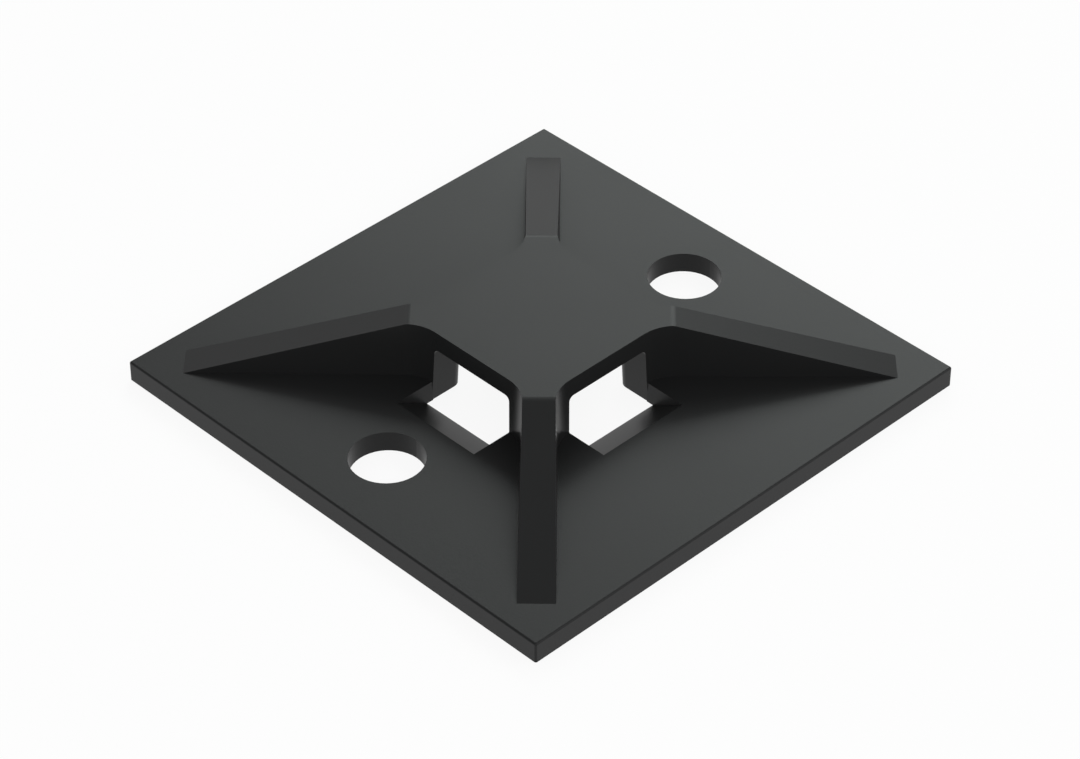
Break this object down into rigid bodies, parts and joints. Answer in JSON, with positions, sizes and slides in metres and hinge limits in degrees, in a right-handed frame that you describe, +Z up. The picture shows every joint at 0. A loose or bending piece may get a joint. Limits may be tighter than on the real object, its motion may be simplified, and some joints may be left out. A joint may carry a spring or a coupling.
{
  "type": "cable tie mount",
  "caption": "Square screw-down cable tie mount with a low platform on diagonal ribs and crossing tie passages under it, in black nylon.",
  "frame": {"origin": "middle of the flat underside", "axes": "+Z up, out of the surface it is fixed to; X and Y across the plate's sides, with the screw holes on the X axis"},
  "size_m": [0.028, 0.028, 0.0041],
  "materials": {
    "black_nylon": "satin, fine spark-eroded mould texture"
  },
  "bodies": {
    "root": {"tie_mount": "black_nylon"}
  },
  "joints": []
}
